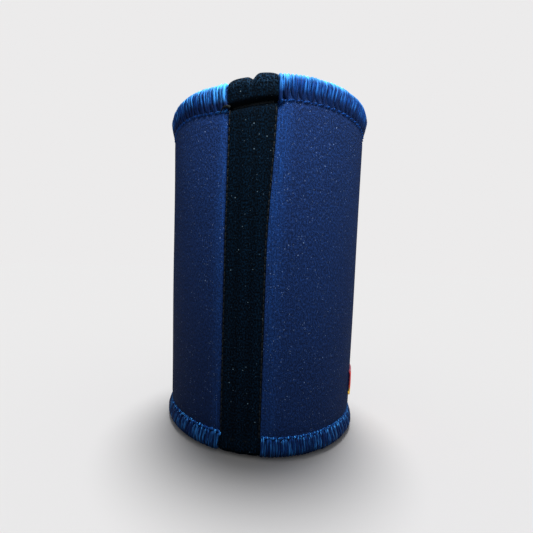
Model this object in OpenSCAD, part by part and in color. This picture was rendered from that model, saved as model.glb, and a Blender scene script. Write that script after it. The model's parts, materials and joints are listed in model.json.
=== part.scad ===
// Tubular wrist splint: a laminated neoprene sleeve, closed by one taped seam.
// A springy aluminium stay slides into a channel behind the seam tape.
// The origin is the centre of the bottom rim, +Z runs up the sleeve, and the seam faces -Y.

/* [Sleeve] */
// Overall height of the sleeve, rim to rim
sleeve_h = 112.5; // [90:0.5:160]
// Outside diameter over the face jersey
sleeve_d = 71; // [66:1:90]
// Thickness of the whole laminate, which sets the bore
wall = 5.5; // [5.5:0.1:6.5]
// Thickness of the face jersey and of the lining jersey
jersey_t = 0.5; // [0.4:0.1:0.6]

/* [Overlocked rims] */
// Depth of the overlock stitch on the top rim
top_bite = 8; // [5:0.5:9]
// Depth of the overlock stitch on the bottom rim
bottom_bite = 7; // [5:0.5:9]
// How far the stretched top rim flares outwards
top_flare = 0.5; // [0:0.1:0.8]
// How far the stretched bottom rim flares outwards
bottom_flare = 0.3; // [0:0.1:0.8]
// Thickness of the looper thread lying on the face
looper_t = 0.8; // [0.6:0.1:1]
// Distance between two stitches
stitch_pitch = 2.3; // [2:0.1:3]

/* [Seam tape] */
// Width of the black tape over the seam
tape_w = 13.2; // [12:0.1:16]
// Thickness of the outer tape
tape_t = 0.8; // [0.6:0.1:0.8]
// How far the left panel end sits below the rim
left_end_drop = 0.9; // [0.5:0.1:1.5]
// How far the right panel end stands above the rim
right_end_rise = 0.6; // [0:0.1:1]
// Gap of the butt seam between the two panel ends
seam_gap = 0.2; // [0.1:0.1:0.4]

/* [Stay] */
// Length of the stay over its two dipped tips
stay_l = 102; // [80:1:102]
// Width of the bare aluminium bar
stay_w = 9; // [8:0.5:9]
// Thickness of the bare aluminium bar
stay_t = 1; // [0.8:0.1:1]
// Thickness of the vinyl on the tips
tip_coat = 0.25; // [0.2:0.05:0.25]
// Length of each vinyl tip
tip_l = 9; // [6:1:12]

/* [Label] */
// Width of the side label
label_w = 17; // [12:1:20]
// Height of the side label
label_h = 8.7; // [6:0.1:12]
// Height of the label's lower edge above the bottom rim
label_z = 13; // [8:0.1:40]
// Angle of the label's near edge round from the seam
label_start = 75; // [40:1:120]

/* [Hidden] */
$fn = 180;

body_r = sleeve_d / 2;                  // face of the jersey
bore_r = body_r - wall;                 // face of the lining
foam_r = body_r - jersey_t;             // outside of the foam
core_r = bore_r + jersey_t;             // inside of the foam

// The layers of the seam, from the bore outwards.
front_t = 0.6;                          // tape between the wrist and the stay
channel_t = 1.9;                        // free depth of the channel
back_t = 0.4;                           // tape behind the stay
zigzag_t = 0.2;
channel_r = bore_r + front_t;
back_r = channel_r + channel_t;
zigzag_r = back_r + back_t;
tape_r = body_r - tape_t;               // underside of the outer tape
jersey_in_r = tape_r - 0.4;             // the jersey is pressed thinner under the tape
stay_r = channel_r + channel_t / 2;     // middle of the stay

channel_w = 10.2;
front_w = 14;
hem_t = 0.6;
floor_z = 5;                            // top of the foam that closes the channel
mouth_drop = 2.5;                       // the channel's mouth below the rim
mouth_z = sleeve_h - mouth_drop;
stay_z = floor_z + hem_t + 0.2;

row_inset = 0.45;                       // stitch rows from the tape's edge
thread_w = 0.45;
thread_t = 0.35;
shoulder = 0.5;                         // jersey turned down beside the tape

rim_round = 2.4;                        // outside corner of a thread-covered rim
inner_round = 1.6;                      // inside corner of a rim
thread_bulk = 1.3;                      // thread over the cut edge
mid_rim = 3;                            // where the two loopers meet, from the bore
tuck = 8;                               // end of the tape tucked in at the top
tack_z = sleeve_h - 6.1;
groove_d = 0.4;                         // depth to which the top tack draws the tape in
cleft_half = 0.4;                       // half angle of the cleft between the two folds

function half_deg(len, r) = len / 2 / r * 180 / PI;
tape_half = half_deg(tape_w, body_r);
fold_half = half_deg(tape_w - 0.1, body_r);
row_half = half_deg(tape_w - 2 * row_inset, body_r);
channel_half = half_deg(channel_w, stay_r);
front_half = half_deg(front_w, bore_r);
shoulder_half = half_deg(tape_w + 2 * shoulder, body_r);
label_half = half_deg(label_w, body_r);
label_mid = label_start + label_half;

// Points of an arc in a profile, as [radius, distance from the rim].
function arc(c, r, a0, a1) = let (n = abs(a1 - a0) / 10)
    [for (i = [0:n]) let (a = a0 + (a1 - a0) * i / n) c + r * [cos(a), sin(a)]];

// The centre of the outside corner of a rim.
function corner(flare) = [body_r + flare + looper_t - rim_round, rim_round];

function to_top(pts) = [for (p = pts) [p.x, sleeve_h - p.y]];
function reversed(pts) = [for (i = [len(pts) - 1:-1:0]) pts[i]];

// Half profiles of one rim, from the needle line round to the bore.
function foam_rim(bite, flare) = concat(
    [[foam_r, bite]],
    arc(corner(flare), rim_round - looper_t - jersey_t, 0, -90),
    arc([core_r + inner_round - jersey_t, thread_bulk + inner_round - jersey_t],
        inner_round - jersey_t, -90, -180)
);
function jersey_rim(bite, flare) = concat(
    [[body_r, bite]],
    arc(corner(flare), rim_round - looper_t, 0, -70)
);
function jersey_back(bite, flare) = concat(
    [[foam_r, bite]],
    arc(corner(flare), rim_round - looper_t - jersey_t, 0, -70)
);
function upper_looper(bite, flare) = let (start = body_r + flare * 0.4 / (bite - rim_round)) concat(
    [[start, bite - 0.4], [start + 0.4, bite - 0.4]],
    arc(corner(flare), rim_round, 0, -90),
    [[bore_r + mid_rim, 0], [bore_r + mid_rim, thread_bulk]],
    arc(corner(flare), rim_round - looper_t - jersey_t, -90, -70),
    arc(corner(flare), rim_round - looper_t, -70, 0)
);
function lower_looper(bite) = concat(
    [[core_r, bite], [bore_r, bite]],
    arc([bore_r + inner_round, inner_round], inner_round, 180, 270),
    [[bore_r + mid_rim, 0], [bore_r + mid_rim, thread_bulk]],
    arc([core_r + inner_round - jersey_t, thread_bulk + inner_round - jersey_t],
        inner_round - jersey_t, -90, -180)
);

// A piece of a ring, from one angle to another, both measured from the seam towards +X.
module ring_piece(r0, r1, a0, a1, z0, z1)
    turned(a0, a1) translate([r0, z0]) square([r1 - r0, z1 - z0]);

module turned(a0, a1)
    rotate([0, 0, a0 - 90]) rotate_extrude(angle = a1 - a0) children();

module over_seam(r0, r1, half, z0, z1)
    ring_piece(r0, r1, -half, half, z0, z1);

// The ring left open for the tape.
module round_to_tape(half)
    turned(half, 360 - half) children();

// Puts a rim's profile, drawn from the rim at zero, on the top rim.
module on_top_rim()
    translate([0, 0, sleeve_h]) mirror([0, 0, 1]) children();

module seam_slit(r0)
    translate([-seam_gap / 2, -body_r - 3, -1])
        cube([seam_gap, body_r + 3 - r0, sleeve_h + 3]);

module foam_sleeve() {
    left_top = sleeve_h - left_end_drop - tape_t - 0.2;
    right_top = sleeve_h + right_end_rise - tape_t - 0.2;
    over = sleeve_h + 3;                // past the top of everything
    color("black") difference() {
        union() {
            rotate_extrude() polygon(concat(
                to_top(foam_rim(top_bite, top_flare)),
                reversed(foam_rim(bottom_bite, bottom_flare))
            ));
            ring_piece(zigzag_r + 0.4, jersey_in_r - 0.3, 0.5, tape_half - 1, mouth_z - 3, right_top);
        }
        over_seam(core_r - 1, channel_r, front_half, -1, over);
        over_seam(core_r - 0.8, back_r + 0.2, channel_half, floor_z, over + 0.1);
        over_seam(core_r - 0.6, back_r + 0.1, tape_half, mouth_z, over + 0.2);
        over_seam(back_r, zigzag_r, tape_half, floor_z, over + 0.3);
        over_seam(zigzag_r - 0.1, zigzag_r + zigzag_t + 0.1, half_deg(4.4, zigzag_r), floor_z + 1,
                  mouth_z);
        over_seam(jersey_in_r, body_r + 2, shoulder_half, -1, over);
        ring_piece(back_r + 0.3, body_r + 2.1, -tape_half, 0, left_top, over + 0.4);
        seam_slit(zigzag_r - 0.1);
    }
}

module face_jersey() {
    edge = rim_round;
    color("midnightblue") {
        round_to_tape(tape_half) polygon(concat(
            to_top(jersey_rim(top_bite, top_flare)),
            to_top(reversed(jersey_back(top_bite, top_flare))),
            jersey_back(bottom_bite, bottom_flare),
            reversed(jersey_rim(bottom_bite, bottom_flare))
        ));
        for (side = [-1, 1])
            mirror([side < 0 ? 1 : 0, 0, 0]) {
                ring_piece(jersey_in_r + 0.1, foam_r + 0.2, tape_half + 0.05,
                           shoulder_half - 0.05, edge + 0.2, sleeve_h - edge - 0.2);
                ring_piece(jersey_in_r, tape_r, half_deg(seam_gap, tape_r), tape_half + 0.5,
                           edge + 0.4, sleeve_h - edge - 0.4);
            }
    }
}

module lining_jersey()
    color("black") round_to_tape(front_half)
        translate([bore_r, bottom_bite]) square([jersey_t, sleeve_h - top_bite - bottom_bite]);

// A flat zigzag that holds the two panel ends edge to edge.
module butt_seam_thread() {
    reach = 3.4;
    rows = floor((mouth_z - floor_z - 4) / stitch_pitch);
    color("black") translate([0, -zigzag_r, floor_z + 2]) rotate([90, 0, 0])
        linear_extrude(zigzag_t) polygon(concat(
                [for (i = [0:rows]) [(i % 2 ? 0.5 : -0.5) * reach - 0.3, i * stitch_pitch]],
                [for (i = [rows:-1:0]) [(i % 2 ? 0.5 : -0.5) * reach + 0.3, i * stitch_pitch]]
            ));
}

// The tape's long leg in profile, hemmed under the bottom rim.
function leg_profile() = concat(
    [[bore_r + 1.2, 0.1]],
    arc([body_r - 1.5, 2.1], 2, -90, 0),
    [[body_r, 6], [body_r, tack_z - 1.5], [tape_r, tack_z - 1.5], [tape_r, 6]],
    arc([body_r - 1.5, 2.1], 2 - tape_t, 0, -90),
    [[bore_r + 1.2, 0.1 + tape_t]]
);

// The fold over one panel end: drawn in below the tack's groove, full above it, then tucked in.
function fold_profile(top) = concat(
    [[tape_r + 0.05, tack_z - 2.5], [body_r - 0.05, tack_z - 2.5], [body_r - 0.05, tack_z - 0.9],
     [body_r - groove_d, tack_z - 0.5], [body_r - groove_d, tack_z + 0.5]],
    arc([body_r - 1.5, top - 2.4], 2.4, 0, 90),
    arc([back_r + 0.9, top - 0.9], 0.9, 90, 180),
    [[back_r, top - tuck], [zigzag_r, top - tuck], [zigzag_r, top - 1]],
    arc([body_r - 1.5, top - 2.4], 1.5, 90, 0),
    [[tape_r + 0.05, tack_z + 0.9]]
);

// The two folds stand at their own heights, with a cleft between them over the butt seam.
module seam_tape()
    color("darkslategray") difference() {
        union() {
            turned(-tape_half, tape_half) polygon(leg_profile());
            turned(-fold_half, -cleft_half) polygon(fold_profile(sleeve_h - left_end_drop));
            turned(cleft_half, fold_half) polygon(fold_profile(sleeve_h + right_end_rise));
        }
        over_seam(body_r - thread_t, body_r + 3, row_half - 1, 4.2, 5.4);
    }

module channel_back_tape()
    color("dimgray") over_seam(back_r, zigzag_r, tape_half - 0.2, floor_z, mouth_z - tuck);

// The inner face of the channel, with a hem folded outwards as the channel's floor.
module channel_front_tape()
    color("dimgray") difference() {
        union() {
            over_seam(bore_r, channel_r, front_half, 0.4, mouth_z);
            over_seam(bore_r + 0.2, back_r, channel_half, floor_z, floor_z + hem_t);
        }
        for (side = [-1, 1])
            rotate([0, 0, side * row_half])
                over_seam(bore_r - 1, bore_r + thread_t, half_deg(thread_w, bore_r), 2, mouth_z - 4);
        over_seam(bore_r - 1, bore_r + thread_t, front_half - 1, mouth_z - 2, mouth_z - 2 + thread_w);
    }

// One continuous lockstitch thread, thick where it shows and thin where it dives.
module stitch_row(z0, z1, r, high, low) {
    count = floor((z1 - z0) / stitch_pitch);
    pitch = (z1 - z0) / count;
    rotate([90, 0, 90]) translate([0, 0, -thread_w / 2]) linear_extrude(thread_w)
        polygon(concat(
            [[-r, z1], [-r, z0]],
            [for (i = [0:count - 1]) each [
                [-r - low, z0 + i * pitch],
                [-r - high, z0 + (i + 0.2) * pitch],
                [-r - high, z0 + (i + 0.7) * pitch],
                [-r - low, z0 + (i + 0.9) * pitch]
            ]],
            [[-r - low, z1]]
        ));
}

module needle_row(side)
    color("black") rotate([0, 0, side * row_half])
        stitch_row(6, sleeve_h - 9, body_r, thread_t, 0.12);

module bobbin_row(side)
    color("black") rotate([0, 0, side * row_half])
        over_seam(bore_r + 0.02, bore_r + thread_t, half_deg(thread_w, bore_r), 2, mouth_z - 4);

module left_needle_row() needle_row(-1);
module right_needle_row() needle_row(1);
module left_bobbin_row() bobbin_row(-1);
module right_bobbin_row() bobbin_row(1);

// A bar tack: a row of upright stitches over one straight thread.
module bar_tack(r, z, half, tall) {
    count = 11;
    step = 2 * half / count;
    color("black") {
        over_seam(r, r + 0.25, half, z - 0.25, z + 0.25);
        for (i = [0:count - 1])
            rotate([0, 0, -half + (i + 0.5) * step])
                over_seam(r + 0.05, r + thread_t, step * 0.32, z - tall / 2, z + tall / 2);
    }
}

// The tack at the top pulls the tape in below its fold. Its thread end lies out to the left.
module top_bar_tack() {
    tail_z = sleeve_h - top_bite - 0.9;
    bar_tack(body_r - groove_d, tack_z, row_half, 0.7);
    color("black") ring_piece(body_r, body_r + thread_w, -tape_half - 4, -tape_half + 1.2,
                              tail_z, tail_z + thread_w);
}

module bottom_bar_tack()
    bar_tack(body_r - thread_t, 4.8, row_half - 1.1, 1);

module mouth_hem_thread()
    color("black") over_seam(bore_r + 0.02, bore_r + thread_t, front_half - 1.1, mouth_z - 2,
                             mouth_z - 2 + thread_w);

// The needle thread of an overlocked rim: a ring of short stitches joined into one thread.
module needle_ring(z) {
    first = tape_half + 0.6;
    count = floor((360 - 2 * first) / 360 * 2 * PI * body_r / stitch_pitch);
    step = (360 - 2 * first) / count;
    dash = [[0, 0.12], [0.2, thread_t], [0.7, thread_t], [0.9, 0.12]];
    function ring_point(a, r) = r * [cos(a - 90), sin(a - 90)];
    color("royalblue") translate([0, 0, z]) linear_extrude(thread_w) polygon(concat(
        [for (i = [0:count - 1], d = dash) ring_point(first + (i + d.x) * step, body_r + d.y)],
        [ring_point(360 - first, body_r + 0.12)],
        [for (i = [count:-1:0], k = [0.5, 0]) if (i + k <= count)
            ring_point(first + (i + k) * step, body_r + 0.02)]
    ));
}

module top_needle_thread() needle_ring(sleeve_h - top_bite - 0.3);
module bottom_needle_thread() needle_ring(bottom_bite - 0.15);

module top_upper_looper()
    color("royalblue") on_top_rim() round_to_tape(tape_half + 0.1)
        polygon(upper_looper(top_bite, top_flare));

module top_lower_looper()
    color("navy") on_top_rim() round_to_tape(front_half)
        polygon(lower_looper(top_bite));

module bottom_upper_looper()
    color("royalblue") round_to_tape(tape_half + 0.1)
        polygon(upper_looper(bottom_bite, bottom_flare));

module bottom_lower_looper()
    color("navy") round_to_tape(front_half)
        polygon(lower_looper(bottom_bite));

module side_label()
    color("crimson") ring_piece(body_r, body_r + 0.4, label_start, label_start + 2 * label_half,
                                label_z, label_z + label_h);

// Two short rows that hold the label's ends.
module label_thread()
    color("indigo") for (a = [-1, 1])
        rotate([0, 0, label_mid + a * (label_half - 2)])
            over_seam(body_r + 0.4, body_r + 0.6, half_deg(thread_w, body_r),
                      label_z + 0.5, label_z + label_h - 0.5);

// The bar of the stay is a strip dished to the bore, with round ends.
module stay_shape(wide, thick, z0, z1) {
    half = half_deg(wide, stay_r);
    intersection() {
        over_seam(stay_r - thick / 2, stay_r + thick / 2, half, z0, z1);
        translate([0, 0, z0 + wide / 2]) rotate([90, 0, 0]) linear_extrude(body_r) {
            circle(d = wide);
            translate([-wide / 2, 0]) square([wide, z1 - z0 - wide]);
            translate([0, z1 - z0 - wide]) circle(d = wide);
        }
    }
}

module stay_bar()
    color("silver") stay_shape(stay_w, stay_t, stay_z + tip_coat, stay_z + stay_l - tip_coat);

module stay_tip(z0, z1)
    color("black") difference() {
        intersection() {
            stay_shape(stay_w + 2 * tip_coat, stay_t + 2 * tip_coat, stay_z, stay_z + stay_l);
            translate([-body_r, -body_r - 1, z0]) cube([2 * body_r, body_r + 1, z1 - z0]);
        }
        stay_bar();
    }

module stay_upper_tip() stay_tip(stay_z + stay_l - tip_l, stay_z + stay_l + 1);
module stay_lower_tip() stay_tip(stay_z - 1, stay_z + tip_l);

foam_sleeve();
face_jersey();
lining_jersey();
butt_seam_thread();
seam_tape();
channel_back_tape();
channel_front_tape();
left_needle_row();
right_needle_row();
left_bobbin_row();
right_bobbin_row();
top_bar_tack();
bottom_bar_tack();
mouth_hem_thread();
top_needle_thread();
top_upper_looper();
top_lower_looper();
bottom_needle_thread();
bottom_upper_looper();
bottom_lower_looper();
side_label();
label_thread();
stay_bar();
stay_upper_tip();
stay_lower_tip();
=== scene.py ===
import bpy
import json
import math
import random
from mathutils import Matrix, Vector

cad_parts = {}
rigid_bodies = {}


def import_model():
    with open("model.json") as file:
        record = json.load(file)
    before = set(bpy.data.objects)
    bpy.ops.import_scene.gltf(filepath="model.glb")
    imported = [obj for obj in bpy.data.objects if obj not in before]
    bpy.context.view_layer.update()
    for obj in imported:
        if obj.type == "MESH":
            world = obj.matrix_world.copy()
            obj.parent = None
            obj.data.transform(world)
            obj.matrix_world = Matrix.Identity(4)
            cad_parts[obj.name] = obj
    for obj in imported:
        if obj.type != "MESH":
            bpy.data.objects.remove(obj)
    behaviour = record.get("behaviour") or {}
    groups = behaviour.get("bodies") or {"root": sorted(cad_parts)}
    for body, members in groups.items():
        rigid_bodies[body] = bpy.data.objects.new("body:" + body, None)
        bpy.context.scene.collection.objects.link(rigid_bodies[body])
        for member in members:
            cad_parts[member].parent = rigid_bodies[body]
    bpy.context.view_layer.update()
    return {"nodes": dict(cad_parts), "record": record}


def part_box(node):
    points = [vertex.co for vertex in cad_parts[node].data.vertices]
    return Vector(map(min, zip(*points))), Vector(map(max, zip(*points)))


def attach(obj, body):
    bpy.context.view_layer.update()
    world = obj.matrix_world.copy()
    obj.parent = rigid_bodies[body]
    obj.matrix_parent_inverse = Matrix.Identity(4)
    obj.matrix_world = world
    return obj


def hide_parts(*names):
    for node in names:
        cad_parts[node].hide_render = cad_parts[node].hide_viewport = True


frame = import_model()
print("frame loaded:", len(frame["nodes"]), "nodes")

# A tubular wrist splint: jersey-faced neoprene, overlocked rims, a taped seam and a sliding stay
mm = 0.001
fullTurn = 2 * math.pi
random.seed(11)

# main sizes, read off the frame
labelStandOff = 0.4 * mm
boreRadius = frame["record"]["mounts"][0]["dims"]["r_mm"] * mm
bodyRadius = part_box("side_label")[1].x - labelStandOff
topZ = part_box("top_upper_looper")[1].z
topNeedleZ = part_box("top_upper_looper")[0].z
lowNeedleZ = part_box("bottom_upper_looper")[1].z
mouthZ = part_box("channel_front_tape")[1].z      # the channel's open end
tackZ = topZ - 6.6 * mm                         # the tack under the folded panel ends
tapeHalfWidth = 6.6 * mm
stitchPitch = 2.3 * mm


def deselectAll():
    if bpy.context.object and bpy.context.object.mode != "OBJECT":
        bpy.ops.object.mode_set(mode="OBJECT")
    bpy.ops.object.select_all(action="DESELECT")


def selectOnly(piece):
    deselectAll()
    piece.select_set(True)
    bpy.context.view_layer.objects.active = piece


def smoothStep(low, high, value):
    t = min(max((value - low) / (high - low), 0.0), 1.0)
    return t * t * (3 - 2 * t)


def bell(value, width):
    return math.exp(-(value / width) ** 2)


def heights(node):
    low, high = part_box(node)
    return low.z, high.z


def onSleeve(radius, around, z):
    # around is an angle from the seam, positive towards +X
    return Vector((radius * math.sin(around), -radius * math.cos(around), z))


def arcPoints(centre, radius, start, end, steps):
    # start and end in degrees, in the plane of radius and height
    points = []
    for i in range(steps + 1):
        a = math.radians(start + (end - start) * i / steps)
        points.append((centre[0] + radius * math.cos(a), centre[1] + radius * math.sin(a)))
    return points


class Path:
    # A profile in the plane of radius and height, read by its share of length
    def __init__(self, points):
        self.points = points
        self.marks = [0.0]
        for p, q in zip(points, points[1:]):
            self.marks.append(self.marks[-1] + math.dist(p, q))
        self.length = self.marks[-1]

    def at(self, share):
        goal = min(max(share, 0.0), 1.0) * self.length
        last = len(self.points) - 2
        for i in range(last + 1):
            if goal <= self.marks[i + 1] or i == last:
                step = max(self.marks[i + 1] - self.marks[i], 1e-12)
                t = (goal - self.marks[i]) / step
                p, q = self.points[i], self.points[i + 1]
                return (p[0] + (q[0] - p[0]) * t, p[1] + (q[1] - p[1]) * t)

    def normal(self, share):
        # to the left of the way the path runs
        p, q = self.at(share - 0.01), self.at(share + 0.01)
        along = Vector((q[0] - p[0], q[1] - p[1])).normalized()
        return (-along.y, along.x)


def rollSheet(name, columns, rows, place, thickness, closed=False):
    # A flat cut of cloth, rolled to its place, then given its thickness
    seamGap = 0.02 * mm
    deselectAll()
    bpy.ops.mesh.primitive_grid_add(x_subdivisions=columns, y_subdivisions=rows, size=1)
    sheet = bpy.context.object
    sheet.name = name
    for v in sheet.data.vertices:
        v.co = place(v.co.x + 0.5, v.co.y + 0.5)
    if closed:
        bpy.ops.object.mode_set(mode="EDIT")
        bpy.ops.mesh.select_all(action="SELECT")
        bpy.ops.mesh.remove_doubles(threshold=seamGap)
        bpy.ops.mesh.normals_make_consistent(inside=False)
        bpy.ops.object.mode_set(mode="OBJECT")
    if thickness:
        wall = sheet.modifiers.new("wall", "SOLIDIFY")
        wall.thickness = thickness
        wall.offset = 0
        bpy.ops.object.modifier_apply(modifier=wall.name)
    bpy.ops.object.shade_smooth_by_angle(angle=math.radians(50))
    return sheet


def spinThread(name, lines, radius, sides=1):
    # Threads are swept along their own lines; each point is (place, share of the radius)
    deselectAll()
    curve = bpy.data.curves.new(name, "CURVE")
    curve.dimensions = "3D"
    curve.bevel_depth = radius
    curve.bevel_resolution = sides
    curve.use_fill_caps = True
    for line in lines:
        spline = curve.splines.new("POLY")
        spline.points.add(len(line) - 1)
        for point, (place, share) in zip(spline.points, line):
            point.co = (*place, 1.0)
            point.radius = share
    thread = bpy.data.objects.new(name, curve)
    bpy.context.scene.collection.objects.link(thread)
    selectOnly(thread)
    bpy.ops.object.convert(target="MESH")
    thread = bpy.context.object
    bpy.ops.object.shade_smooth()
    return thread


def joinPieces(pieces):
    deselectAll()
    for piece in pieces:
        piece.select_set(True)
    bpy.context.view_layer.objects.active = pieces[0]
    bpy.ops.object.join()
    return bpy.context.object


def keepPiece(piece, node, material):
    # on the sleeve, in place of its CAD node
    selectOnly(piece)
    bpy.ops.object.transform_apply(location=True, rotation=True, scale=True)
    piece.data.materials.clear()
    piece.data.materials.append(material)
    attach(piece, "sleeve")
    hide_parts(node)


class Wire:
    # A socket that can be used in plain expressions
    def __init__(self, nodes, socket):
        self.nodes = nodes
        self.socket = socket

    def math(self, operation, *others):
        return self.nodes.math(operation, self, *others)

    def __add__(self, other):
        return self.math("ADD", other)

    def __sub__(self, other):
        return self.math("SUBTRACT", other)

    def __mul__(self, other):
        return self.math("MULTIPLY", other)

    def __truediv__(self, other):
        return self.math("DIVIDE", other)

    def __neg__(self):
        return self.math("MULTIPLY", -1.0)

    def __rsub__(self, other):
        return self.nodes.math("SUBTRACT", other, self)

    def __rtruediv__(self, other):
        return self.nodes.math("DIVIDE", other, self)

    __radd__ = __add__
    __rmul__ = __mul__

    def over(self, low, high):
        # 0 below low, 1 above high, smooth between
        return self.nodes.add("ShaderNodeMapRange", {"interpolation_type": "SMOOTHSTEP"},
                              {"Value": self, "From Min": low, "From Max": high})

    def under(self, low, high):
        return 1.0 - self.over(low, high)

    def ribs(self, pitch, wave="SINE"):
        # even ribs from 0 to 1
        return (self * (fullTurn / pitch)).math(wave) * 0.5 + 0.5


class Nodes:
    # A node tree, and the one way to add to it
    def __init__(self, tree):
        self.tree = tree

    def add(self, kind, settings={}, sockets={}, output=0):
        # the settings are set first, then each socket gets a value or a link
        box = self.tree.nodes.new(kind)
        for key, value in settings.items():
            setattr(box, key, value)
        for key, value in sockets.items():
            self.give(box.inputs[key], value)
        return Wire(self, box.outputs[output])

    def give(self, socket, value):
        if isinstance(value, Wire):
            self.tree.links.new(value.socket, socket)
        elif isinstance(value, tuple):
            socket.default_value = (*value, 1.0)
        else:
            socket.default_value = value

    def math(self, operation, *values):
        return self.add("ShaderNodeMath", {"operation": operation}, dict(enumerate(values)))

    def mix(self, share, first, second):
        # two colours
        return self.add("ShaderNodeMix", {"data_type": "RGBA"},
                        {0: share, 6: first, 7: second}, output=2)


class Finish(Nodes):
    # One material, with coordinates that follow the sleeve
    def __init__(self, name):
        self.material = bpy.data.materials.new(name)
        self.material.use_nodes = True
        super().__init__(self.material.node_tree)
        self.surface = self.tree.nodes["Principled BSDF"]
        self.place = self.add("ShaderNodeTexCoord", output="Object")
        parts = self.add("ShaderNodeSeparateXYZ", {}, {0: self.place}).socket.node.outputs
        x, y, z = (Wire(self, part) for part in parts)
        self.z = z * (1 / mm)                                       # millimetres up
        self.around = x.math("ARCTAN2", -y) * (bodyRadius / mm)     # and round, from the seam

    def cloth(self, across=1.0, up=1.0):
        return self.add("ShaderNodeCombineXYZ", {}, {"X": self.around * across, "Y": self.z * up})

    def noise(self, scale, detail=2.0, vector=None, rough=0.5):
        return self.add("ShaderNodeTexNoise", {}, {
            "Vector": vector or self.place, "Scale": scale, "Detail": detail, "Roughness": rough})

    def specks(self, scale, size):
        # small dots where a cell's centre is near
        cells = self.add("ShaderNodeTexVoronoi", {"feature": "F1"},
                         {"Vector": self.cloth(), "Scale": scale})
        return cells.under(size * 0.4, size)

    def band(self, middle, inner, outer):
        # 1 within inner millimetres of the height, 0 past outer
        return (self.z - middle).math("ABSOLUTE").under(inner, outer)

    def paint(self, sockets):
        for name, value in sockets.items():
            self.give(self.surface.inputs[name], value)

    def bump(self, height, distance):
        normal = self.add("ShaderNodeBump", {}, {"Height": height, "Distance": distance})
        self.paint({"Normal": normal})


def makeNavyJersey():
    look = {
        "deep": (0.0006, 0.0036, 0.017),
        "light": (0.0090, 0.0335, 0.142),
        "edge": (0.010, 0.070, 0.31),
        "lint": (0.26, 0.38, 0.62),
        "waleWidth": 0.62,
        "paintedShading": 0.25,           # painted shade: how much darker the lower half is
        "leftPaintedShade": 0.30,       # and painted shade on the left panel, with painted light at its top
        "leftPaintedLight": 0.22,
        "leftRoll": 0.75,       # the lighter strip beside the tape, partly painted highlight, against the right one
        "bump": 0.18 * mm,
    }
    f = Finish("navyJersey")
    grain = f.noise(1.25, 3.0, f.cloth(1.7, 1.0), 0.7)
    fine = f.noise(3.4, 2.0, f.cloth(1.2, 1.0), 0.6)
    broad = f.noise(0.06, 2.0, f.cloth())
    streaks = f.noise(1.0, 2.0, f.cloth(2.4, 0.10), 0.6)
    knit = grain.over(0.43, 0.62) * 0.6 + fine.over(0.44, 0.60) * 0.4
    leftPanel = f.around.under(-9.0, -4.0)
    # painted shade, darker towards the bottom and on the left panel, and painted light at the left
    # panel's top
    leftShade = f.z.under(5.0, 100.0) * look["leftPaintedShade"] - f.z.over(70.0, 104.0) * look["leftPaintedLight"]
    paintedShade = f.z.under(5.0, 75.0) * look["paintedShading"] + leftPanel * leftShade
    tone = (knit * 0.9 + broad * 0.15) * (1.0 - paintedShade)
    colour = f.mix(tone, look["deep"], look["light"])
    # the panels roll down to the tape; the stretched jersey there is lighter, and a painted
    # highlight is added that grows towards the top
    side = f.around - f.z.over(60.0, 106.0) * 1.1
    right = side.over(5.9, 7.0) * side.under(7.6, 13.4)
    left = side.under(-7.2, -6.0) * side.over(-11.5, -7.4)
    roll = ((right + left * look["leftRoll"])
            * (0.3 + streaks.over(0.42, 0.62) * 0.7) * (0.3 + knit * 0.7))
    colour = f.mix(roll * (0.32 + f.z.over(30.0, 105.0) * 0.5), colour, look["edge"])
    lint = f.specks(0.42, 0.10) * grain.over(0.45, 0.6)
    dust = f.specks(1.3, 0.2) * f.noise(0.5, 1.0, f.cloth()).over(0.45, 0.62)
    f.paint({
        "Base Color": f.mix(lint * 0.6 + dust * 0.4, colour, look["lint"]),
        "Roughness": 0.78 + grain * 0.12,
        "Specular IOR Level": 0.06,
        "Sheen Weight": 0.015,
        "Sheen Roughness": 0.5,
        "Sheen Tint": (0.25, 0.45, 1.0),
    })
    wales = f.around.ribs(look["waleWidth"])
    f.bump(knit * 0.7 + wales * 0.2 + streaks * roll * 1.2, look["bump"])
    return f.material


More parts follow.
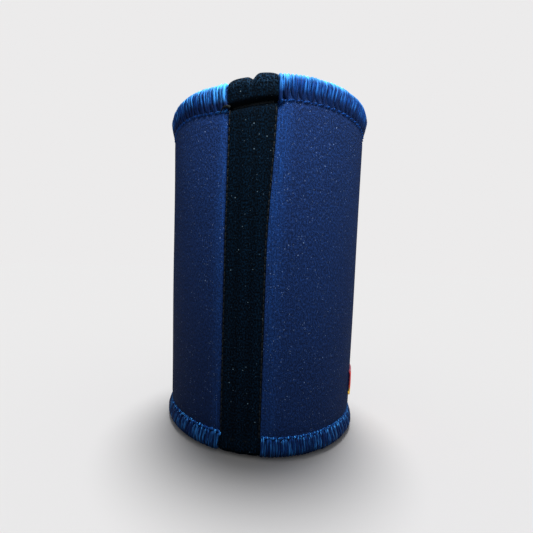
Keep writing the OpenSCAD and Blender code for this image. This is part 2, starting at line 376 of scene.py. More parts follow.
def makeBlueThread():
    look = {
        "deep": (0.0005, 0.0040, 0.024),
        "light": (0.0035, 0.048, 0.245),
        "bright": (0.065, 0.40, 1.0),
        "glint": 0.36,          # how much of the bright colour each part shows, as painted highlight
        "leftGlint": 0.30,
        "besideTape": 0.5,
        "crest": 0.30,
        "heads": 0.70,
        "lowStrands": 0.14,
        "needleShadeDepth": 0.8,      # and how much of the deep one, as painted shade
        "lowRimShade": 0.68,
        "bump": 0.2 * mm,
    }
    low, needle, top = lowNeedleZ / mm, topNeedleZ / mm, topZ / mm
    f = Finish("blueWoollyThread")
    fibre = f.noise(1.55, 3.0, f.cloth(1.5, 0.10), 0.6)
    curl = f.noise(1100.0, 2.0)
    uneven = f.noise(0.5, 2.0, f.cloth(1.0, 0.03))
    body = fibre.over(0.36, 0.62) * 0.8 + curl.over(0.4, 0.65) * 0.2
    colour = f.mix(body, look["deep"], look["light"])
    upper = f.z.over(40.0, 60.0)                # 1 on the top rim
    dip = f.around.over(-22.0, -10.0) * f.around.under(-5.0, 0.0)
    level = f.z + dip * 1.6                     # the left rim dips next to the tape
    # painted shade where the strands meet the needle line
    paintedNeedleShade = (level.over(needle + 0.15, needle + 0.35) * level.under(needle + 1.8, needle + 3.8)
              * upper)
    # and painted highlight over the crest and beside the tape
    crest = (level - dip * 0.5).over(top - 2.6, top - 0.3)
    high = level.over(top - 5.6, top - 1.2) * 0.7 + 0.3
    nearTape = (f.around - 1.0).math("ABSOLUTE").under(8.2, 12.5)
    leftRim = f.around.under(-7.0, -5.0)
    # painted glints along the strands, stronger towards the top of the rim and damped at the needle
    # line
    glint = fibre.over(0.50, 0.62) * uneven.over(0.40, 0.58)
    shine = glint * (look["glint"] + leftRim * look["leftGlint"])
    shine = shine + nearTape * fibre.over(0.42, 0.60) * look["besideTape"]
    shine = shine * high + crest * (1.0 + fibre.over(0.40, 0.60)) * look["crest"]
    shine = shine + leftRim * f.around.over(-10.5, -8.5) * fibre.over(0.38, 0.50) * 0.3
    dull = 0.3 + level.over(needle + 0.3, needle + 0.7) * 0.7
    # on the bottom rim it is mostly the loop heads that catch the light
    heads = f.z.over(low - 1.5, low - 0.4) * f.z.under(low + 0.8, low + 1.2)
    lower = fibre.over(0.53, 0.61) * (look["lowStrands"] + heads * look["heads"]) + shine * 0.10
    # painted shade at the top rim's needle line, and on the bottom rim's strands apart from the
    # loop heads
    shade = paintedNeedleShade * look["needleShadeDepth"] + (1.0 - upper) * (1.0 - heads) * look["lowRimShade"]
    shine = (shine * upper * dull + lower * (1.0 - upper)) * (1.0 - paintedNeedleShade)
    colour = f.mix(shade, colour, look["deep"])
    f.paint({
        "Base Color": f.mix(shine, colour, look["bright"]),
        "Roughness": 0.46 + curl * 0.2,
        "Specular IOR Level": 0.05,
        "Sheen Weight": 0.03,
        "Sheen Roughness": 0.4,
        "Sheen Tint": (0.3, 0.6, 1.0),
    })
    f.bump(fibre * 0.75 + curl * 0.25, look["bump"])
    return f.material


def makeBlackTape():
    look = {
        "deep": (0.0002, 0.0008, 0.0016),
        "light": (0.0014, 0.0092, 0.0225),
        "paintedShading": (0.010, 0.030, 0.062),
        "lint": (0.15, 0.24, 0.31),
        "ribWidth": 4.4,
        "paintedCapHighlight": 0.7,          # painted highlight on the tops of the panel ends
        "paintedGrooveShade": 0.9,         # and painted shade in the tack's groove
        "grooveTilt": 0.106,
        "bump": 0.3 * mm,
    }
    tack = tackZ / mm
    f = Finish("blackLoopTape")
    loops = f.noise(1.7, 3.0, f.cloth(1.3, 1.0), 0.7)
    ribs = f.around.ribs(look["ribWidth"], "COSINE")
    colour = f.mix(loops.over(0.42, 0.66) * (0.65 + ribs * 0.35), look["deep"], look["light"])
    # painted highlight over the tops of the panel ends
    paintedCapHighlight = f.z.over(tack + 1.5, tack + 4.5) * loops.over(0.46, 0.62)
    colour = f.mix(paintedCapHighlight * look["paintedCapHighlight"], colour, look["paintedShading"])
    # painted shade in the groove under the panel ends
    groove = f.band(tack - 1.3 + f.around * look["grooveTilt"], 0.5, 1.5)
    colour = f.mix(groove * look["paintedGrooveShade"], colour, look["deep"])
    lint = f.specks(0.55, 0.12) * f.noise(0.35, 1.0, f.cloth()).over(0.42, 0.58)
    fluff = f.specks(1.6, 0.16) * loops.over(0.5, 0.65)
    f.paint({
        "Base Color": f.mix(lint * 0.5 + fluff * 0.30, colour, look["lint"]),
        "Roughness": 0.82 + loops * 0.12,
        "Specular IOR Level": 0.02,
        "Sheen Weight": 0.006,
        "Sheen Roughness": 0.45,
        "Sheen Tint": (0.6, 0.8, 0.9),
    })
    f.bump(loops, look["bump"])
    return f.material


def makeThread(name, deep, light):
    f = Finish(name)
    twist = (f.around * 5.0 + f.z * 7.0).ribs(fullTurn)
    fuzz = f.noise(1400.0, 2.0)
    strand = twist * 0.6 + fuzz * 0.4
    f.paint({"Base Color": f.mix(strand, deep, light), "Roughness": 0.5 + fuzz * 0.25,
             "Specular IOR Level": 0.1})
    f.bump(strand, 0.08 * mm)
    return f.material


def makeLining():
    look = {
        "deep": (0.0012, 0.0014, 0.002),
        "light": (0.016, 0.018, 0.022),
        "lint": (0.16, 0.17, 0.19),
        "waleWidth": 0.7,
        "bump": 0.2 * mm,
    }
    f = Finish("blackLining")
    grain = f.noise(1.6, 3.0, f.cloth(1.9, 1.0), 0.65)
    wales = f.around.ribs(look["waleWidth"])
    lint = f.specks(0.4, 0.1) * grain.over(0.48, 0.6)
    knit = grain.over(0.40, 0.64) * 0.7 + wales * 0.3
    colour = f.mix(knit, look["deep"], look["light"])
    f.paint({"Base Color": f.mix(lint * 0.5, colour, look["lint"]),
             "Roughness": 0.8 + grain * 0.1, "Specular IOR Level": 0.15})
    f.bump(grain * 0.6 + wales * 0.4, look["bump"])
    return f.material


def makeFoam():
    look = {"pore": (0.002, 0.002, 0.0022), "skin": (0.016, 0.016, 0.017), "bump": 0.1 * mm}
    f = Finish("neopreneFoam")
    pores = f.add("ShaderNodeTexVoronoi", {"feature": "F1"}, {"Vector": f.place, "Scale": 2600.0})
    f.paint({"Base Color": f.mix(pores.over(0.15, 0.6), look["pore"], look["skin"]),
             "Roughness": 0.7 + pores * 0.2})
    f.bump(pores, look["bump"])
    return f.material


def makeWovenLabel():
    look = {
        "red": (0.85, 0.025, 0.04),
        "orange": (0.95, 0.13, 0.012),
        "yellow": (1.0, 0.60, 0.02),
        "edge": (0.08, 0.01, 0.06),
        "warp": (0.9, 0.5, 0.35),
        "bump": 0.1 * mm,
    }
    low, high = (z / mm for z in heights("side_label"))
    f = Finish("wovenLabel")
    weft = f.z.ribs(0.34)
    warp = f.around.ribs(0.3)
    band = (f.z - low) / (high - low)
    colour = f.mix(band.under(0.25, 0.6), look["red"], look["orange"])
    colour = f.mix(band.under(0.24, 0.27), colour, look["yellow"])
    border = band.under(0.0, 0.05) + band.over(0.95, 1.0)
    colour = f.mix(border * 0.7, colour, look["edge"])
    f.paint({"Base Color": f.mix(weft * warp * 0.3, colour, look["warp"]),
             "Roughness": 0.55 + weft * 0.15, "Sheen Weight": 0.2})
    f.bump(weft * 0.5 + warp * 0.5, look["bump"])
    return f.material


def makeStayMetal():
    look = {"dull": (0.34, 0.345, 0.36), "light": (0.50, 0.505, 0.51), "bump": 0.02 * mm}
    f = Finish("brushedAluminium")
    brush = f.noise(9.0, 3.0, f.cloth(6.0, 0.12), 0.7)
    smudge = f.noise(180.0, 2.0)
    f.paint({"Base Color": f.mix(brush, look["dull"], look["light"]),
             "Roughness": 0.38 + brush * 0.14 + smudge * 0.08, "Metallic": 1.0})
    f.bump(brush, look["bump"])
    return f.material


def makeVinyl():
    look = {"deep": (0.006, 0.006, 0.007), "light": (0.018, 0.018, 0.02), "bump": 0.05 * mm}
    f = Finish("dippedVinyl")
    skin = f.noise(700.0, 2.0)
    f.paint({"Base Color": f.mix(skin, look["deep"], look["light"]),
             "Roughness": 0.34 + skin * 0.16})
    f.bump(skin, look["bump"])
    return f.material


navyJersey = makeNavyJersey()
blueThread = makeBlueThread()
blackTape = makeBlackTape()
blackThread = makeThread("blackSewingThread", (0.0006, 0.0009, 0.0014), (0.004, 0.007, 0.010))
purpleThread = makeThread("purpleSewingThread", (0.03, 0.006, 0.05), (0.12, 0.04, 0.17))
blackLining = makeLining()
neopreneFoam = makeFoam()
wovenLabel = makeWovenLabel()
stayMetal = makeStayMetal()
dippedVinyl = makeVinyl()
print("finishes made")

rims = {
    "top": {"edge": topZ, "way": -1, "needle": topNeedleZ, "slack": 14 * mm,
            "radius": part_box("top_upper_looper")[1].x - 0.4 * mm},
    "bottom": {"edge": 0.0, "way": 1, "needle": lowNeedleZ, "slack": 0.0,
               "radius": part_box("bottom_upper_looper")[1].x + 0.1 * mm},
}
cornerRound = 2.7 * mm          # outside of the thread round a rim
innerRound = 1.7 * mm           # and inside the bore
threadDepth = 1.0 * mm          # looper thread on the rim
innerGap = 7.3 * mm             # from the seam to the stitches inside the bore
tapeLean = {"shift": 1.15 * mm, "widening": 0.10, "low": 60 * mm, "high": 106 * mm}


def tapeCentre(z):
    # the tape leans a little to the right near the top
    return tapeLean["shift"] * smoothStep(tapeLean["low"], tapeLean["high"], z)


def tapeSwell(z):
    # and widens there
    return 1 + tapeLean["widening"] * smoothStep(tapeLean["low"], tapeLean["high"], z)


def fromTape(around, z):
    # distance from the middle of the tape, signed
    return math.remainder(around, fullTurn) * bodyRadius - tapeCentre(z)


def unevenness(around, z):
    # the hand-made unevenness of the whole tube
    return (0.10 * math.sin(3 * around + 0.8) * math.sin(z / (14 * mm))
            + 0.08 * math.sin(5 * around + z / (19 * mm))
            + 0.06 * math.sin(2 * around - z / (11 * mm) + 2)) * mm


def rimDrop(around, z):
    # the left panel's rim dips next to the tape, and its stitching bites deeper there
    dip = {"needle": 1.7 * mm, "crest": 1.1 * mm, "from": 9 * mm, "width": 10 * mm}
    s = fromTape(around, z)
    if s >= 0:
        return 0.0
    near = bell(s + dip["from"], dip["width"])
    rise = smoothStep(topNeedleZ - rims["top"]["slack"], topNeedleZ, z)
    over = smoothStep(topNeedleZ, topZ, z)
    return -(dip["needle"] - (dip["needle"] - dip["crest"]) * over) * rise * near


def tackSag(s):
    # the groove under the panel ends sags to the left
    return (0.7 * s / tapeHalfWidth - 1.1) * mm


def faceOffset(around, z):
    # how far the face stands off its plain radius
    dip = {"tape": 0.8 * mm, "rightSlope": 3.2 * mm, "leftSlope": 1.8 * mm,
           "needle": 0.28 * mm, "topWidth": 1.5 * mm, "lowWidth": 1.4 * mm,
           "groove": 1.5 * mm, "grooveWidth": 2.7 * mm, "grooveDrop": 1.2 * mm}
    s = fromTape(around, z)
    slope = dip["rightSlope"] if s > 0 else dip["leftSlope"]
    edge = tapeHalfWidth * tapeSwell(z)
    roll = 1.0 - smoothStep(edge - 0.5 * mm, edge + slope, abs(s))
    bite = bell(z - topNeedleZ, dip["topWidth"]) + bell(z - lowNeedleZ, dip["lowWidth"])
    groove = roll * bell(z - tackZ + dip["grooveDrop"], dip["grooveWidth"])
    return ((unevenness(around, z) - dip["needle"] * bite) * (1 - roll)
            - dip["tape"] * roll - dip["groove"] * groove)


def rimProfile(rim, inset):
    # from the needle line up the face and over to the middle of the rim
    cutEdge = boreRadius + 2.8 * mm
    centre = (rim["radius"] - cornerRound, rim["edge"] + rim["way"] * cornerRound)
    face = [(bodyRadius - inset - 0.1 * mm, rim["needle"])]
    over = arcPoints(centre, cornerRound - inset, 0, -90 * rim["way"], 8)
    return face + over + [(cutEdge, over[-1][1])]


def innerProfile(rim, inset):
    # from the needle line inside the bore and over to the middle of the rim
    cutEdge = boreRadius + 3.1 * mm
    centre = (boreRadius + innerRound, rim["edge"] + rim["way"] * innerRound)
    face = [(boreRadius + inset, rim["needle"])]
    over = arcPoints(centre, innerRound - inset, 180, 180 + 90 * rim["way"], 8)
    return face + over + [(cutEdge, over[-1][1])]


def crowd(u, amount):
    # more columns of the grid near the seam, where the shape turns faster
    return u - amount * math.sin(fullTurn * u) / fullTurn


def makeFaceJersey():
    cloth = {"thickness": 0.5 * mm, "columns": 330, "rows": 112, "crowding": 0.5, "gap": 0.1 * mm}
    inset = threadDepth + cloth["thickness"] / 2
    lower = rimProfile(rims["bottom"], inset)[1:8]
    upper = rimProfile(rims["top"], inset)[1:8]
    radius = bodyRadius - cloth["thickness"] / 2
    path = Path(lower[::-1] + [(radius, lowNeedleZ), (radius, topNeedleZ)] + upper)
    start = cloth["gap"] / bodyRadius

    def place(u, w):
        around = start + (fullTurn - 2 * start) * crowd(u, cloth["crowding"])
        r, z = path.at(w)
        return onSleeve(r + faceOffset(around, z), around, z + rimDrop(around, z))

    jersey = rollSheet("faceJersey", cloth["columns"], cloth["rows"], place, cloth["thickness"])
    keepPiece(jersey, "face_jersey", navyJersey)


def makeLiningJersey():
    cloth = {"thickness": 0.45 * mm, "columns": 180, "rows": 60, "edge": 7.0 * mm, "evenness": 0.6}
    radius = boreRadius + 0.25 * mm
    start = cloth["edge"] / boreRadius
    low, high = heights("lining_jersey")

    def place(u, w):
        around = start + (fullTurn - 2 * start) * (1 - u)
        z = low + (high - low) * w
        return onSleeve(radius + cloth["evenness"] * unevenness(around, z), around, z)

    lining = rollSheet("liningJersey", cloth["columns"], cloth["rows"], place, cloth["thickness"])
    keepPiece(lining, "lining_jersey", blackLining)
    (fullTurn - 2 * start) * boreRadius


def makeFoamCore():
    core = {"columns": 260, "rows": 96, "crowding": 0.6, "jersey": 0.55 * mm, "middle": 3.0 * mm,
            "channelHalf": 5.1 * mm, "channelFloor": 5 * mm, "channelMiddle": 1.55 * mm,
            "frontHalf": 7.6 * mm, "frontDepth": 0.65 * mm, "mouthTrim": 0.4 * mm}
    face, bore = bodyRadius - core["jersey"], boreRadius + core["jersey"]
    outside = [(face, lowNeedleZ), (face, topNeedleZ)]
    inside = [(bore, topNeedleZ), (bore, lowNeedleZ)]
    depth = threadDepth + core["jersey"]
    lowOut = rimProfile(rims["bottom"], depth)[1:]
    topOut = rimProfile(rims["top"], depth)[1:]
    lowIn = innerProfile(rims["bottom"], threadDepth)[1:-1]
    topIn = innerProfile(rims["top"], threadDepth)[1:-1]
    path = Path(lowOut[::-1] + outside + topOut + topIn[::-1] + inside + lowIn + [lowOut[-1]])
    channel = core["channelHalf"] * bodyRadius / (boreRadius + core["channelMiddle"])

    def place(u, w):
        around = fullTurn * crowd(u, core["crowding"])
        r, z = path.at(w)
        s = abs(math.remainder(around, fullTurn))
        if r > boreRadius + core["middle"]:
            r += faceOffset(around, z) - 0.05 * mm
        else:
            if s * bodyRadius < core["frontHalf"]:
                r = max(r, boreRadius + core["frontDepth"])
            if s * bodyRadius < channel and z > core["channelFloor"]:
                r = boreRadius + core["middle"]
            if s * boreRadius < core["frontHalf"]:
                z = min(z, mouthZ - core["mouthTrim"])      # trimmed back between the rims' ends
        return onSleeve(r, around, z + rimDrop(around, z))

    foam = rollSheet("neopreneCore", core["columns"], core["rows"], place, 0, closed=True)
    keepPiece(foam, "foam_sleeve", neopreneFoam)


makeFaceJersey()
makeLiningJersey()
makeFoamCore()
print("laminate rolled")


def tapePath(top):
    # hemmed under the bottom rim, up the face, in at the tack, out over the panel end, tucked in
    face = bodyRadius - 0.45 * mm
    tuck = boreRadius + 2.93 * mm
    pinched = [(face, -3.8), (face - 0.15 * mm, -2.4), (face - 0.85 * mm, -1.6),
               (face - 1.35 * mm, -0.7), (face - 1.35 * mm, 0.05), (face - 0.45 * mm, 0.4),
               (face + 0.45 * mm, 0.75)]
    return ([(bodyRadius - 3.6 * mm, 0.55 * mm)]
            + arcPoints((bodyRadius - 1.6 * mm, 2.3 * mm), 1.8 * mm, -90, 0, 6)
            + [(face, 6.5 * mm)] + [(r, tackZ + up * mm) for r, up in pinched]
            + arcPoints((bodyRadius - 1.9 * mm, top - 2.5 * mm), 2.35 * mm, 8, 90, 8)
            + arcPoints((boreRadius + 3.8 * mm, top - 1.0 * mm), 0.87 * mm, 90, 180, 4)
            + [(tuck, top - 3 * mm), (tuck, top - 8 * mm)])


def makeSeamTape():
    strip = {"columns": 64, "rows": 300, "thickness": 0.75 * mm,
             "edgeDrop": 0.5 * mm, "edgeRound": 0.45 * mm, "edgeCurl": 0.1 * mm,
             "notch": 0.5 * mm, "notchAt": -0.1 * mm,
             "rib": 0.07 * mm, "ribWidth": 4.4 * mm,
             "stitchDip": 0.22 * mm, "stitchAt": 6.15 * mm}
    left, right = Path(tapePath(topZ - 0.6 * mm)), Path(tapePath(topZ + 0.2 * mm))

    def place(u, w):
        x = (2 * u - 1) * tapeHalfWidth
        share = smoothStep(-0.4 * mm, 2.0 * mm, x)
        (r0, z0), (r1, z1) = left.at(w), right.at(w)
        r, z = r0 + (r1 - r0) * share, z0 + (z1 - z0) * share
        edge = abs(x) / tapeHalfWidth
        middle = x - strip["notchAt"]
        lobe = smoothStep(tackZ + 0.6 * mm, tackZ + 4.5 * mm, z)
        outer = smoothStep(boreRadius + 3.2 * mm, boreRadius + 4.6 * mm, r)
        leg = outer * (1 - lobe)
        z += outer * bell(z - tackZ, 3 * mm) * tackSag(x)
        # the two panel ends, with a notch between them
        z -= lobe * (strip["edgeDrop"] * edge ** 8 + strip["notch"] * bell(middle, 0.9 * mm))
        r -= lobe * outer * (strip["edgeRound"] * edge ** 4
                             + strip["notch"] * bell(middle, 0.7 * mm))
        # the long leg, ribbed and pulled in by its two rows
        rib = strip["rib"] * math.cos(fullTurn * x / strip["ribWidth"])
        stitch = strip["stitchDip"] * bell(abs(x) - strip["stitchAt"], 0.4 * mm)
        r += leg * (rib - stitch - strip["edgeCurl"] * edge ** 8)
        return onSleeve(r, (x * tapeSwell(z) + tapeCentre(z)) / bodyRadius, z)

    tape = rollSheet("seamTape", strip["columns"], strip["rows"], place, strip["thickness"])
    keepPiece(tape, "seam_tape", blackTape)


def makeBackTape():
    tape = {"half": 6.3 * mm, "radius": boreRadius + 2.7 * mm, "thickness": 0.36 * mm}
    low, high = heights("channel_back_tape")

    def place(u, w):
        x = (2 * u - 1) * tape["half"]
        return onSleeve(tape["radius"], x / bodyRadius, low + (high - low) * w)

    behind = rollSheet("channelBackTape", 24, 60, place, tape["thickness"])
    keepPiece(behind, "channel_back_tape", blackTape)
    2 * tape["half"]


def makeFrontTape():
    tape = {"half": 7.0 * mm, "radius": boreRadius + 0.22 * mm, "thickness": 0.3 * mm,
            "hem": 0.16 * mm, "rowAt": 5.15 * mm, "dip": 0.14 * mm, "pucker": 0.1 * mm,
            "bow": 0.05 * mm}
    floor = {"half": 4.9 * mm, "z": 5.3 * mm, "near": 0.5 * mm, "depth": 1.9 * mm,
             "thickness": 0.5 * mm, "middle": boreRadius + 1.5 * mm, "allowance": 2 * mm}
    r, fold = tape["radius"], mouthZ - 0.3 * mm
    path = Path([(r, heights("channel_front_tape")[0]), (r, fold)]
                + arcPoints((r + tape["hem"], fold), tape["hem"], 180, 0, 5)
                + [(r + 2 * tape["hem"], mouthZ - 3 * mm)])

    def placeFront(u, w):
        x = (2 * u - 1) * tape["half"]
        r, z = path.at(w)
        row = bell(abs(x) - tape["rowAt"], 0.5 * mm)
        pucker = tape["pucker"] * (0.5 + 0.5 * math.cos(fullTurn * z / stitchPitch))
        bow = tape["bow"] * (1 - (x / tape["half"]) ** 2)
        return onSleeve(r - bow + row * (tape["dip"] + pucker), x / boreRadius, z)

    def placeFloor(u, w):
        x = (2 * u - 1) * floor["half"]
        r = boreRadius + floor["near"] + floor["depth"] * w
        return onSleeve(r, x / floor["middle"], floor["z"])

    front = rollSheet("channelFrontTape", 44, 150, placeFront, tape["thickness"])
    closing = rollSheet("channelFloor", 16, 6, placeFloor, floor["thickness"])
    whole = joinPieces([front, closing])
    keepPiece(whole, "channel_front_tape", blackTape)
    2 * tape["half"]
    path.length + floor["allowance"]


makeSeamTape()
makeBackTape()
makeFrontTape()
print("tapes laid")


def rimAngles(which):
    # the stitches run all the way round, from one edge of the tape to the other
    z = rims[which]["needle"]
    edge = tapeHalfWidth * tapeSwell(z) + 0.25 * mm
    lean = tapeCentre(z)
    return (edge + lean) / bodyRadius, fullTurn - (edge - lean) / bodyRadius


def makeLooper(name, node, which, inside):
    yarn = {"radius": 0.63 * mm, "jitter": 0.06, "strandPoints": 9,
            "bulge": 0.12, "headLift": 0.20 * mm,
            "fatness": (0.9, 1.08), "reach": (-0.012, 0.012),
            "head": 0.42 if which == "top" else 0.62,
            "lean": (0.0, 0.18) if which == "top" else (0.18, 0.38)}
    rim = rims[which]
    path = Path(innerProfile(rim, 0.45 * mm) if inside else rimProfile(rim, threadDepth / 2))
    # the path's left is outwards on one rim and inwards on the other
    side = 1 if (which == "bottom") != inside else -1
    start, end = rimAngles(which)
    if inside:
        start, end = innerGap / boreRadius, fullTurn - innerGap / boreRadius
    count = round((end - start) * bodyRadius / stitchPitch)
    step = (end - start) / count
    strand = [k / (yarn["strandPoints"] - 1) for k in range(yarn["strandPoints"])]
    line = []

    def add(share, lift, around, width):
        r, z = path.at(share)
        n = path.normal(share)
        z += rimDrop(around, z)
        line.append((onSleeve(r + side * n[0] * lift, around, z + side * n[1] * lift), width))

    for i in range(count):
        base = start + i * step + random.uniform(-1, 1) * yarn["jitter"] * step
        fat = random.uniform(*yarn["fatness"])
        lean = random.uniform(*yarn["lean"])
        reach = random.uniform(*yarn["reach"])
        # up from the cut edge to the needle line
        for t in strand:
            bulge = math.sin(math.pi * t) * yarn["bulge"]
            add(1.0 - t * (0.93 - reach), (0.02 + bulge * 0.5) * mm,
                base + step * (0.02 + lean * t), fat * (0.9 + bulge))
        # a loop head that reaches along the needle line over the next stitch
        for t in (0.15, 0.4, 0.65, 0.9):
            share = 0.055 - 0.05 * math.sin(math.pi * t) + reach
            add(max(share, 0.004), yarn["headLift"], base + step * (0.05 + lean + 0.82 * t),
                yarn["head"])
        # back down to the cut edge
        for t in strand:
            bulge = math.sin(math.pi * t) * yarn["bulge"]
            across = 0.52 + 0.34 * max(0.0, 1 - t * 4) ** 2
            add(0.07 + t * 0.93, bulge * 0.5 * mm,
                base + step * (across + lean * (1 - t)), fat * (0.9 + bulge))
    looper = spinThread(name, [line], yarn["radius"], sides=2)
    keepPiece(looper, node, blueThread)


def makeRimNeedle(name, node, which):
    # share of a stitch, lift off the face in millimetres, share of the thread's radius
    stitch = ((0.0, -0.45, 0.8), (0.14, 0.18, 1.0), (0.35, 0.37, 1.05),
              (0.6, 0.39, 1.05), (0.82, 0.2, 1.0), (0.94, -0.3, 0.8))
    rim = rims[which]
    start, end = rimAngles(which)
    count = round((end - start) * bodyRadius / stitchPitch)
    step = (end - start) / count
    line = []
    for i in range(count):
        for t, lift, share in stitch:
            around = start + (i + t) * step
            z = rim["needle"] + rim["way"] * (0.05 - 0.35 * t) * mm
            r = bodyRadius + faceOffset(around, z) + lift * mm
            line.append((onSleeve(r, around, z + rimDrop(around, z)), share))
    needle = spinThread(name, [line], 0.18 * mm)
    keepPiece(needle, node, blueThread)


makeLooper("topUpperLooper", "top_upper_looper", "top", False)
makeLooper("topLowerLooper", "top_lower_looper", "top", True)
makeLooper("bottomUpperLooper", "bottom_upper_looper", "bottom", False)
makeLooper("bottomLowerLooper", "bottom_lower_looper", "bottom", True)
makeRimNeedle("topNeedleThread", "top_needle_thread", "top")
makeRimNeedle("bottomNeedleThread", "bottom_needle_thread", "bottom")
print("rims overlocked")


def stitchLine(count, locate, dive, rise):
    # a lockstitch thread between its holes; locate gives a place from a share and a lift
    stitch = ((0.0, dive, 0.75), (0.12, rise * 0.4, 1.0), (0.3, rise, 1.1),
              (0.6, rise, 1.1), (0.8, rise * 0.5, 1.0), (0.92, dive, 0.75))
    return [(locate((i + t) / count, lift), share)
            for i in range(count) for t, lift, share in stitch]


def makeTapeRows():
    row = {"inset": 0.45 * mm, "radius": 0.2 * mm, "needleDepth": 0.36 * mm,
           "bobbinAt": 5.2 * mm, "bobbinDepth": 0.3 * mm,
           "needleDive": -0.35 * mm, "needleRise": 0.14 * mm,
           "bobbinDive": -0.4 * mm, "bobbinRise": 0.16 * mm}
    for side, name in ((-1, "left"), (1, "right")):
        low, high = heights(name + "_needle_row")
        bottom, top = heights(name + "_bobbin_row")

        def outside(share, lift):
            z = low + (high - low) * share
            x = side * (tapeHalfWidth * tapeSwell(z) - row["inset"]) + tapeCentre(z)
            return onSleeve(bodyRadius - row["needleDepth"] + lift, x / bodyRadius, z)

        def inside(share, lift):
            z = bottom + (top - bottom) * share
            r = boreRadius + row["bobbinDepth"] - lift
            return onSleeve(r, side * row["bobbinAt"] / boreRadius, z)

        stitches = stitchLine(round((high - low) / stitchPitch), outside,
                              row["needleDive"], row["needleRise"])
        needle = spinThread(name + "NeedleRow", [stitches], row["radius"])
        keepPiece(needle, name + "_needle_row", blackThread)
        stitches = stitchLine(round((top - bottom) / stitchPitch), inside,
                              row["bobbinDive"], row["bobbinRise"])
        bobbin = spinThread(name + "BobbinRow", [stitches], row["radius"])
        keepPiece(bobbin, name + "_bobbin_row", blackThread)


def zigzag(count, half, low, high, radius, centre):
    # a bar tack's dense zigzag between two heights
    up = ((0.0, -0.25), (0.25, 0.08), (0.75, 0.08), (1.0, -0.25))
    down = ((1.0, -0.25), (0.7, 0.12), (0.3, 0.12), (0.0, -0.25))
    line = []
    for i in range(count + 1):
        x = -half + 2 * half * i / count
        sag = tackSag(x) if centre else 0.0
        for share, out in down if i % 2 else up:
            z = low + (high - low) * share + sag
            line.append((onSleeve(radius + out * mm, (x + centre) / bodyRadius, z), 1.0))
    return line


def makeTacks():
    tack = {"radius": 0.2 * mm, "half": 5.9 * mm, "depth": 1.3 * mm, "passes": 30,
            "low": tackZ - 0.75 * mm, "high": tackZ + 0.25 * mm,
            "lowHalf": 5.2 * mm, "lowDepth": 0.12 * mm, "lowPasses": 24}
    tail = {"points": 13, "length": 3.4 * mm, "z": tackZ - 1.9 * mm, "thick": 2.3, "thin": 0.6}
    lean = tapeCentre(tackZ)
    top = zigzag(tack["passes"], tack["half"], tack["low"], tack["high"],
                 bodyRadius - tack["depth"], lean)
    # the cut end of the thread lies out over the jersey, to the left
    end = []
    for i in range(tail["points"]):
        t = i / (tail["points"] - 1)
        x = -tapeHalfWidth * 0.93 + lean * 0.5 - tail["length"] * t
        z = tail["z"] - (1.2 * t - 0.6 * math.sin(math.pi * t)) * mm
        out = (-0.1 + 0.7 * math.sin(math.pi * min(t * 1.2, 1.0))) * mm
        width = tail["thick"] + (tail["thin"] - tail["thick"]) * t
        end.append((onSleeve(bodyRadius + out, x / bodyRadius, z), width))
    topTack = spinThread("topBarTack", [top, end], tack["radius"])
    keepPiece(topTack, "top_bar_tack", blackThread)
    low, high = heights("bottom_bar_tack")
    bottom = zigzag(tack["lowPasses"], tack["lowHalf"], low, high,
                    bodyRadius - tack["lowDepth"], 0.0)
    bottomTack = spinThread("bottomBarTack", [bottom], tack["radius"])
    keepPiece(bottomTack, "bottom_bar_tack", blackThread)


def makeHiddenThreads():
    butt = {"half": 1.7 * mm, "lift": 0.1 * mm, "radius": 0.12 * mm}
    hem = {"half": 6.4 * mm, "depth": 0.2 * mm, "radius": 0.18 * mm, "stitches": 6,
           "dive": -0.35 * mm, "rise": 0.16 * mm}
    low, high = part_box("butt_seam_thread")
    count = int((high.z - low.z) / stitchPitch)
    line = []
    for i in range(count + 1):
        x = butt["half"] if i % 2 else -butt["half"]
        z = low.z + (high.z - low.z) * i / count
        line.append((Vector((x, low.y + butt["lift"], z)), 1.0))
    seam = spinThread("buttSeamThread", [line], butt["radius"])
    keepPiece(seam, "butt_seam_thread", blackThread)
    hemZ = heights("mouth_hem_thread")[0] + 0.2 * mm

    def locate(share, lift):
        x = (2 * share - 1) * hem["half"]
        return onSleeve(boreRadius + hem["depth"] - lift, x / boreRadius, hemZ)

    stitches = stitchLine(hem["stitches"], locate, hem["dive"], hem["rise"])
    mouth = spinThread("mouthHemThread", [stitches], hem["radius"])
    keepPiece(mouth, "mouth_hem_thread", blackThread)


makeTapeRows()
makeTacks()
makeHiddenThreads()
print("seam stitched")


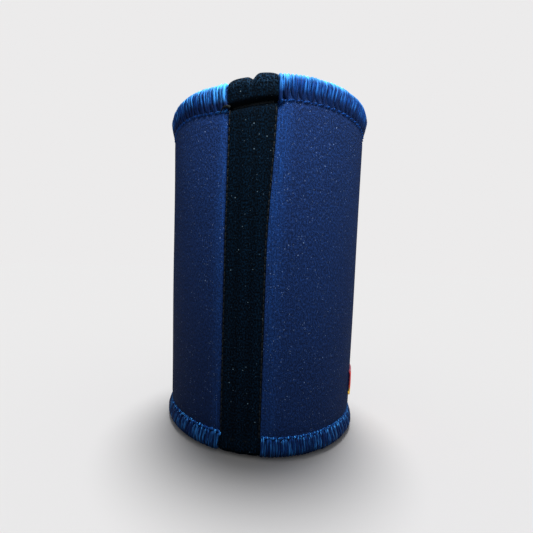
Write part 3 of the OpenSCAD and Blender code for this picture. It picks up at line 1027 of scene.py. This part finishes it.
def makeLabel():
    tag = {"start": 75.0, "width": 17 * mm, "columns": 60, "rows": 44, "thickness": 0.26 * mm,
           "turnedUnder": 0.8 * mm, "foldDepth": 0.28 * mm, "foldRound": 0.12 * mm,
           "lift": 0.37 * mm, "curl": 0.3 * mm, "pillow": 0.1 * mm,
           "rowAt": 0.9 * mm, "rowDip": 0.12 * mm, "rowEnds": 0.5 * mm, "thread": 0.16 * mm,
           "stitches": 5, "dive": -0.35 * mm, "rise": 0.12 * mm, "threadLift": 0.42 * mm}
    low, high = heights("side_label")
    begin = math.radians(tag["start"])
    # the long edges are turned under before it is sewn on
    fold = [(-tag["foldDepth"], tag["turnedUnder"]), (-tag["foldDepth"], tag["foldRound"]),
            (-tag["foldDepth"] / 2, 0.02 * mm), (0.0, tag["foldRound"])]
    path = Path([(depth, low + up) for depth, up in fold]
                + [(depth, high - up) for depth, up in fold[::-1]])

    def place(u, w):
        around = begin + u * tag["width"] / bodyRadius
        depth, z = path.at(w)
        edge = min(u, 1 - u) * tag["width"]
        dip = tag["rowDip"] * bell(edge - tag["rowAt"], 0.5 * mm)
        curl = tag["curl"] * (1 - smoothStep(0.0, 1.4 * mm, edge))
        pillow = tag["pillow"] * math.sin(math.pi * (z - low) / (high - low))
        r = bodyRadius + tag["lift"] + depth + faceOffset(around, z) + curl + pillow - dip
        return onSleeve(r, around, z)

    label = rollSheet("sideLabel", tag["columns"], tag["rows"], place, tag["thickness"])
    keepPiece(label, "side_label", wovenLabel)
    rows = []
    for along in (tag["rowAt"], tag["width"] - tag["rowAt"]):
        around = begin + along / bodyRadius

        def locate(share, lift):
            z = low + tag["rowEnds"] + (high - low - 2 * tag["rowEnds"]) * share
            r = bodyRadius + faceOffset(around, z) + tag["threadLift"] + lift
            return onSleeve(r, around, z)

        rows.append(stitchLine(tag["stitches"], locate, tag["dive"], tag["rise"]))
    stitches = spinThread("labelThread", rows, tag["thread"])
    keepPiece(stitches, "label_thread", purpleThread)


makeLabel()
print("label sewn on")

stayPieces = []
for nodeName, finish in (("stay_bar", stayMetal), ("stay_upper_tip", dippedVinyl),
                         ("stay_lower_tip", dippedVinyl)):
    node = frame["nodes"][nodeName]
    node.data.materials.clear()
    node.data.materials.append(finish)
    stayPieces.append(node)
print("stay finished")


def makeStage():
    paper = {"colour": (0.86, 0.854, 0.856), "seen": (0.838, 0.830, 0.832),
             "glow": (0.20, 0.20, 0.20), "size": 12, "drop": 0.3 * mm}
    deselectAll()
    bpy.ops.mesh.primitive_plane_add(size=paper["size"], location=(0, 0, -paper["drop"]))
    ground = bpy.context.object
    ground.name = "paleFloor"
    finish = Finish("palePaper")
    finish.paint({"Base Color": paper["colour"], "Roughness": 1.0, "Specular IOR Level": 0.0})
    ground.data.materials.append(finish.material)
    # the room looks as pale as the floor, and lights the splint softly
    world = bpy.data.worlds.new("studio")
    bpy.context.scene.world = world
    world.use_nodes = True
    room = Nodes(world.node_tree)
    seen = room.add("ShaderNodeLightPath", output="Is Camera Ray")
    room.give(room.tree.nodes["Background"].inputs[0],
              room.mix(seen, paper["glow"], paper["seen"]))


def highSun(strength, lean, turn, softness):
    # one broad source high over the splint, a little behind it; angles in degrees
    deselectAll()
    bpy.ops.object.light_add(type="SUN", location=(0, 0.2, 1.0))
    sun = bpy.context.object
    sun.name = "ceilingPanel"
    sun.data.energy = strength
    sun.data.angle = math.radians(softness)
    sun.rotation_euler = (math.radians(-lean), 0, math.radians(turn))


def softbox(name, place, target, size, power, lit):
    # a small round softbox that lights only the pieces in lit
    deselectAll()
    bpy.ops.object.light_add(type="AREA", location=place)
    lamp = bpy.context.object
    lamp.name = name
    lamp.data.shape = "DISK"
    lamp.data.size = size
    lamp.data.energy = power
    lamp.visible_camera = False
    lamp.light_linking.receiver_collection = lit
    aim = Vector(target) - Vector(place)
    lamp.rotation_euler = aim.to_track_quat("-Z", "Y").to_euler()


def makeCamera():
    view = {"distance": 122.4 * mm, "around": 8.825, "height": 58.3 * mm, "turn": 13.376,
            "pitch": 4.448, "roll": 1.565, "lens": 20.04, "shift": (0.0535, 0.0436)}
    deselectAll()
    bpy.ops.object.camera_add()
    camera = bpy.context.object
    camera.data.lens = view["lens"]
    camera.data.sensor_width = 36
    camera.data.shift_x, camera.data.shift_y = view["shift"]
    camera.data.clip_start = 5 * mm
    place = onSleeve(view["distance"], math.radians(view["around"]), view["height"])
    camera.matrix_world = (Matrix.Translation(place)
                           @ Matrix.Rotation(math.radians(view["turn"]), 4, "Z")
                           @ Matrix.Rotation(math.radians(90 - view["pitch"]), 4, "X")
                           @ Matrix.Rotation(math.radians(view["roll"]), 4, "Z"))
    bpy.context.scene.camera = camera


bpy.context.scene.view_settings.view_transform = "Standard"
# the softboxes light the sleeve only: the stay's metal would burn out when drawn up past them
sleevePieces = bpy.data.collections.new("sleevePieces")
for piece in bpy.context.scene.objects:
    if piece.type == "MESH" and piece not in stayPieces:
        sleevePieces.objects.link(piece)
lights = {
    "sun": {"strength": 2.47, "lean": 10.0, "turn": 4.0, "softness": 18.0},
    "near": {"place": (0.036, -0.096, 0.184), "target": (0.0, -0.035, 0.100),
             "size": 0.07, "power": 0.36},
    "side": {"place": (0.30, -0.06, 0.16), "target": (0.03, 0.0, 0.05),
             "size": 0.15, "power": 0.11},
}
makeStage()
highSun(**lights["sun"])
softbox("nearSoftbox", lit=sleevePieces, **lights["near"])
softbox("sideSoftbox", lit=sleevePieces, **lights["side"])
makeCamera()
print("stage lit")
